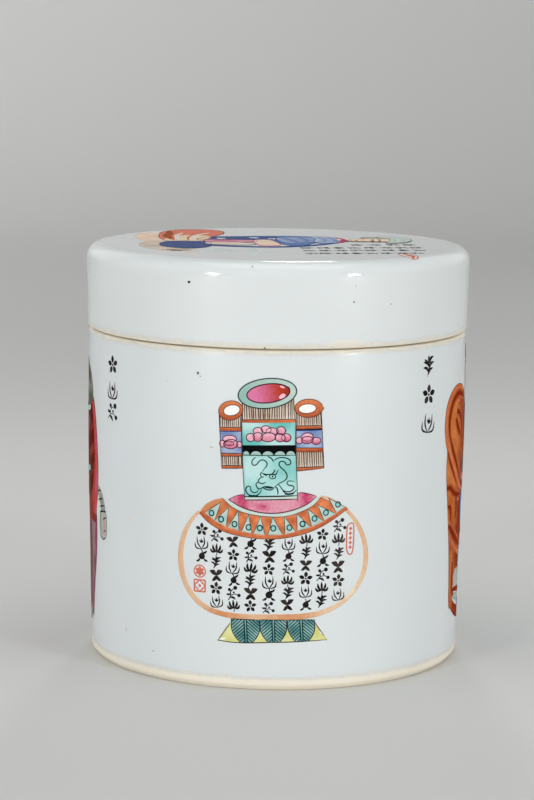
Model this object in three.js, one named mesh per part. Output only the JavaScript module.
// A cylindrical porcelain jar with a flat overlapping lid, of the kind thrown on a wheel, trimmed, glazed and then
// painted over the glaze. Two pieces: the jar, with its foot ring, shoulder and inner collar, and the lid, which
// drops over the collar and rests on the shoulder.
// Millimetres, +Z up, the origin at the middle of the foot ring, on the surface that the jar stands on.

import * as THREE from "three";

// Driving dimensions.
const overallHeight = 116;
const shoulderHeight = 92.5; // the ledge that the lid rests on
const lidRadius = 54; // at the turn of the lid's upper edge, the widest place
const lidRimRadius = 53.5;
const bodyTopRadius = 53.1;
const bellyRadius = 53.5; // the wall swells a little on its way up, and draws in again under the lid
const bellyHeight = 70;
const bellyCurve = 1100;
const footRadius = 52.2;

// The jar's wall, floor and foot.
const wall = 4.4;
const floorThickness = 4.6;
const baseRecess = 3.2; // how far the underside is trimmed up inside the foot ring
const footRingWidth = 5.2;
const footBevel = 1.5; // the turned-in outer edge of the foot, left without glaze
const floorDish = 0.6; // the middle of the floor lies this much lower than its edge

// The collar inside the lid, which keeps the lid in place.
const collarHeight = 8.6;
const collarThickness = 3;
const collarClearance = 0.9; // between collar and lid, all round
const collarTaper = 0.4; // how much narrower the collar is at its lip
const neckDepth = 8; // the wall draws in to the collar over this height below the shoulder

// The lid.
const seatGap = 0.3; // glaze and firing grit between the rim and the shoulder
const lidWall = 4.6;
const lidTopThickness = 4.2;
const lidCornerRadius = 3.8;
const lidRimEdge = 1.2; // the rounding of the rim's outer edge
const lidTopSag = 0.25; // the middle of the flat top sank a little in the kiln
const lidDraft = 0.5; // how much narrower the lid is inside at its ceiling

const facetsAround = 72;
const degreesPerFacet = 24; // along a rounded edge of a profile

const porcelain = new THREE.MeshStandardMaterial({
  color: 0xdfe4e4,
  roughness: 0.12,
  metalness: 0,
});
const lidPorcelain = porcelain.clone();
lidPorcelain.color.set(0xe2e6e5);

// One corner of a profile: its distance from the axis, its height, and the radius of the arc that rounds it.
const corner = (radius, height, fillet = 0) => ({
  at: new THREE.Vector2(radius, height),
  fillet,
});

// The points of the arc of the given radius that touches both sides of a corner, walked from the first side to the
// second.
function filletPoints(before, { at, fillet }, after) {
  const toBefore = before.clone().sub(at).normalize();
  const toAfter = after.clone().sub(at).normalize();
  const halfAngle = Math.acos(THREE.MathUtils.clamp(toBefore.dot(toAfter), -1, 1)) / 2;
  const toCentre = fillet / Math.sin(halfAngle);
  const centre = toBefore.clone().add(toAfter).setLength(toCentre).add(at);
  const tangent = fillet / Math.tan(halfAngle);
  const first = toBefore.multiplyScalar(tangent).add(at).sub(centre);
  const last = toAfter.multiplyScalar(tangent).add(at).sub(centre);
  const turn = Math.atan2(first.cross(last), first.dot(last));
  const steps = Math.max(2, Math.ceil(THREE.MathUtils.radToDeg(Math.abs(turn)) / degreesPerFacet));
  return Array.from({ length: steps + 1 }, (_, i) =>
    first.clone().rotateAround(new THREE.Vector2(), (turn * i) / steps).add(centre),
  );
}

// A profile through its corners, with each rounded corner replaced by its arc. It starts and ends on the axis.
function profile(corners) {
  return corners.flatMap((c, i) =>
    c.fillet > 0 ? filletPoints(corners[i - 1].at, c, corners[i + 1].at) : [c.at.clone()],
  );
}

// The solid that a profile sweeps round the jar's axis. The profile runs anticlockwise, with the axis on its left,
// so the faces point outwards.
function turned(name, corners, material) {
  const geometry = new THREE.LatheGeometry(profile(corners), facetsAround);
  geometry.rotateX(Math.PI / 2);
  const mesh = new THREE.Mesh(geometry, material);
  mesh.name = name;
  return mesh;
}

// The jar: from the middle of its underside, over the foot ring, up the outside, over the shoulder and the collar,
// and down the inside to the middle of the floor.
function jarBody() {
  const innerFoot = footRadius - footBevel - footRingWidth;
  const innerWallTop = bodyTopRadius - wall;
  const innerWallFoot = footRadius - wall;
  const collarRadius = lidRimRadius - lidWall - collarClearance;
  const mouthRadius = collarRadius - collarThickness;
  const collarTop = shoulderHeight + collarHeight;
  const lip = collarThickness / 2 - 0.3;
  const floor = baseRecess + floorThickness;
  const ledgeCrease = 0.6;
  return turned(
    "jar_body",
    [
      corner(0, baseRecess),
      corner(innerFoot - 0.8, baseRecess, 1.6),
      corner(innerFoot, 0, 0.5),
      corner(footRadius - footBevel, 0, 0.6),
      corner(footRadius, footBevel, 1.2),
      corner(bellyRadius, bellyHeight, bellyCurve),
      corner(bodyTopRadius, shoulderHeight, 1),
      corner(collarRadius, shoulderHeight, ledgeCrease),
      corner(collarRadius - collarTaper, collarTop, lip),
      corner(mouthRadius - collarTaper, collarTop, lip),
      corner(mouthRadius, shoulderHeight - neckDepth / 4, 6),
      corner(innerWallTop, shoulderHeight - neckDepth, 6),
      corner(innerWallFoot, floor, 6),
      corner(0, floor - floorDish),
    ],
    porcelain,
  );
}

// The lid: from the middle of its ceiling, down the inside to the rim, up the outside and over the rounded shoulder
// to the middle of the top.
function lid() {
  const rimHeight = shoulderHeight + seatGap;
  const innerRim = lidRimRadius - lidWall;
  const ceiling = overallHeight - lidTopThickness;
  return turned(
    "lid",
    [
      corner(0, ceiling),
      corner(innerRim - lidDraft, ceiling, 3.5),
      corner(innerRim, rimHeight, 0.6),
      corner(lidRimRadius, rimHeight, lidRimEdge),
      corner(lidRadius, overallHeight, lidCornerRadius),
      corner(0, overallHeight - lidTopSag),
    ],
    lidPorcelain,
  );
}

const jar = new THREE.Group();
jar.name = "lidded_jar";
jar.add(jarBody(), lid());

export default jar;
